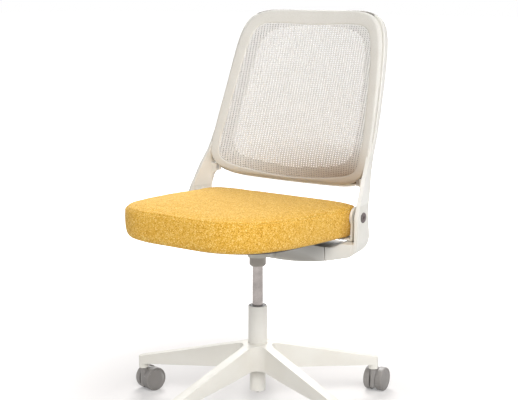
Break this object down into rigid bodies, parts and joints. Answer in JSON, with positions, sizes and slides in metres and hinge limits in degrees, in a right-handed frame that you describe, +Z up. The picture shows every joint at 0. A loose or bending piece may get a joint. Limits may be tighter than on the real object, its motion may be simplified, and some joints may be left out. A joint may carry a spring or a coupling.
{
  "type": "task chair",
  "caption": "Swivel task chair with a cushioned seat, a knitted mesh back in a curved frame on two side arms, a gas column and a five-star base on twin-wheel castors.",
  "frame": {"origin": "on the floor under the column's axis", "axes": "+Z up along the column, -Y the way the sitter faces, +X to the sitter's left"},
  "size_m": [0.6953, 0.6774, 1.0425],
  "materials": {
    "cast_white": "satin off-white coat",
    "castor_grey": "matt warm grey",
    "steel": "ground steel",
    "dark_metal": "burnished dark brown",
    "collar_grey": "matt grey",
    "black_plastic": "matt black",
    "seat_fabric": "yellow felted wool weave",
    "border_fabric": "off-white flat knit",
    "mesh_fabric": "off-white open knit"
  },
  "bodies": {
    "base": {"star_base": "cast_white", "castor_stems": "steel", "stand_tube": "cast_white", "guide_bush": "black_plastic", "thrust_bearing": "steel"},
    "rod": {"piston_rod": "steel", "rod_clip": "steel"},
    "carrier": {"gas_cylinder": "steel", "column_collar": "collar_grey", "mechanism_housing": "cast_white", "shaft_bush_left": "black_plastic", "shaft_bush_right": "black_plastic", "torsion_spring_left": "black_plastic", "torsion_spring_right": "black_plastic", "lever_pin": "steel"},
    "button": {"release_button": "steel"},
    "lever": {"height_lever": "black_plastic"},
    "back": {"side_arm_left": "cast_white", "side_arm_right": "cast_white", "recline_shaft": "steel", "hip_bolt_left": "dark_metal", "hip_bolt_right": "dark_metal", "frame_screws": "steel", "back_frame": "cast_white", "panel_frame": "border_fabric", "back_mesh": "mesh_fabric"},
    "seat": {"seat_cushion": "seat_fabric", "seat_pan": "black_plastic", "seat_bracket_left": "cast_white", "seat_bracket_right": "cast_white", "hip_bush_left": "black_plastic", "hip_bush_right": "black_plastic", "guide_pin": "steel", "seat_screws": "steel"},
    "castor_1": {"castor_hood_1": "castor_grey", "castor_axle_1": "steel"},
    "wheel_1a": {"castor_wheel_1a": "castor_grey"},
    "wheel_1b": {"castor_wheel_1b": "castor_grey"},
    "castor_2": {"castor_hood_2": "castor_grey", "castor_axle_2": "steel"},
    "wheel_2a": {"castor_wheel_2a": "castor_grey"},
    "wheel_2b": {"castor_wheel_2b": "castor_grey"},
    "castor_3": {"castor_hood_3": "castor_grey", "castor_axle_3": "steel"},
    "wheel_3a": {"castor_wheel_3a": "castor_grey"},
    "wheel_3b": {"castor_wheel_3b": "castor_grey"},
    "castor_4": {"castor_hood_4": "castor_grey", "castor_axle_4": "steel"},
    "wheel_4a": {"castor_wheel_4a": "castor_grey"},
    "wheel_4b": {"castor_wheel_4b": "castor_grey"},
    "castor_5": {"castor_hood_5": "castor_grey", "castor_axle_5": "steel"},
    "wheel_5a": {"castor_wheel_5a": "castor_grey"},
    "wheel_5b": {"castor_wheel_5b": "castor_grey"}
  },
  "joints": [
    {"name": "swivel", "type": "hinge", "parent": "base", "child": "rod", "pos_m": [0, 0, 0.04], "axis": [0, 0, 1], "continuous": true},
    {"name": "height", "type": "slide", "parent": "rod", "child": "carrier", "axis": [0, 0, 1], "range_m": [-0.1, 0.02]},
    {"name": "lever_lift", "type": "hinge", "parent": "carrier", "child": "lever", "pos_m": [-0.044, 0, 0.4558], "axis": [0, 1, 0], "range_deg": [0, 4.5], "stiffness_Nm_per_rad": 1.5, "springref_deg": -11.46},
    {"name": "button_press", "type": "slide", "parent": "carrier", "child": "button", "axis": [0, 0, -1], "range_m": [0, 0.004]},
    {"name": "recline", "type": "hinge", "parent": "carrier", "child": "back", "pos_m": [0, 0.066, 0.436], "axis": [-1, 0, 0], "range_deg": [0, 15], "stiffness_Nm_per_rad": 60, "springref_deg": -20.05},
    {"name": "seat_tilt", "type": "hinge", "parent": "back", "child": "seat", "pos_m": [0, 0.082, 0.528], "axis": [-1, 0, 0], "range_deg": [-10.5, 0]},
    {"name": "castor_swivel_1", "type": "hinge", "parent": "base", "child": "castor_1", "pos_m": [0, -0.334, 0.065], "axis": [0, 0, 1], "continuous": true},
    {"name": "wheel_spin_1a", "type": "hinge", "parent": "castor_1", "child": "wheel_1a", "pos_m": [-0.0008, -0.31101, 0.0325], "axis": [-0.9994, -0.0349, 0], "continuous": true},
    {"name": "wheel_spin_1b", "type": "hinge", "parent": "castor_1", "child": "wheel_1b", "pos_m": [-0.0008, -0.31101, 0.0325], "axis": [-0.9994, -0.0349, 0], "continuous": true},
    {"name": "castor_swivel_2", "type": "hinge", "parent": "base", "child": "castor_2", "pos_m": [0.31765, -0.10321, 0.065], "axis": [0, 0, 1], "continuous": true},
    {"name": "wheel_spin_2a", "type": "hinge", "parent": "castor_2", "child": "wheel_2a", "pos_m": [0.31966, -0.0803, 0.0325], "axis": [-0.9962, 0.0872, 0], "continuous": true},
    {"name": "wheel_spin_2b", "type": "hinge", "parent": "castor_2", "child": "wheel_2b", "pos_m": [0.31966, -0.0803, 0.0325], "axis": [-0.9962, 0.0872, 0], "continuous": true},
    {"name": "castor_swivel_3", "type": "hinge", "parent": "base", "child": "castor_3", "pos_m": [0.19632, 0.27021, 0.065], "axis": [0, 0, 1], "continuous": true},
    {"name": "wheel_spin_3a", "type": "hinge", "parent": "castor_3", "child": "wheel_3a", "pos_m": [0.19352, 0.29304, 0.0325], "axis": [-0.9925, -0.1219, 0], "continuous": true},
    {"name": "wheel_spin_3b", "type": "hinge", "parent": "castor_3", "child": "wheel_3b", "pos_m": [0.19352, 0.29304, 0.0325], "axis": [-0.9925, -0.1219, 0], "continuous": true},
    {"name": "castor_swivel_4", "type": "hinge", "parent": "base", "child": "castor_4", "pos_m": [-0.19632, 0.27021, 0.065], "axis": [0, 0, 1], "continuous": true},
    {"name": "wheel_spin_4a", "type": "hinge", "parent": "castor_4", "child": "wheel_4a", "pos_m": [-0.19552, 0.2932, 0.0325], "axis": [-0.9994, 0.0349, 0], "continuous": true},
    {"name": "wheel_spin_4b", "type": "hinge", "parent": "castor_4", "child": "wheel_4b", "pos_m": [-0.19552, 0.2932, 0.0325], "axis": [-0.9994, 0.0349, 0], "continuous": true},
    {"name": "castor_swivel_5", "type": "hinge", "parent": "base", "child": "castor_5", "pos_m": [-0.31765, -0.10321, 0.065], "axis": [0, 0, 1], "continuous": true},
    {"name": "wheel_spin_5a", "type": "hinge", "parent": "castor_5", "child": "wheel_5a", "pos_m": [-0.31287, -0.08071, 0.0325], "axis": [-0.9781, 0.2079, 0], "continuous": true},
    {"name": "wheel_spin_5b", "type": "hinge", "parent": "castor_5", "child": "wheel_5b", "pos_m": [-0.31287, -0.08071, 0.0325], "axis": [-0.9781, 0.2079, 0], "continuous": true}
  ],
  "couplings": [
    {"joint": "button_press", "follows": "lever_lift", "m_per_rad": 0.048},
    {"joint": "seat_tilt", "follows": "recline", "ratio": -0.7}
  ]
}
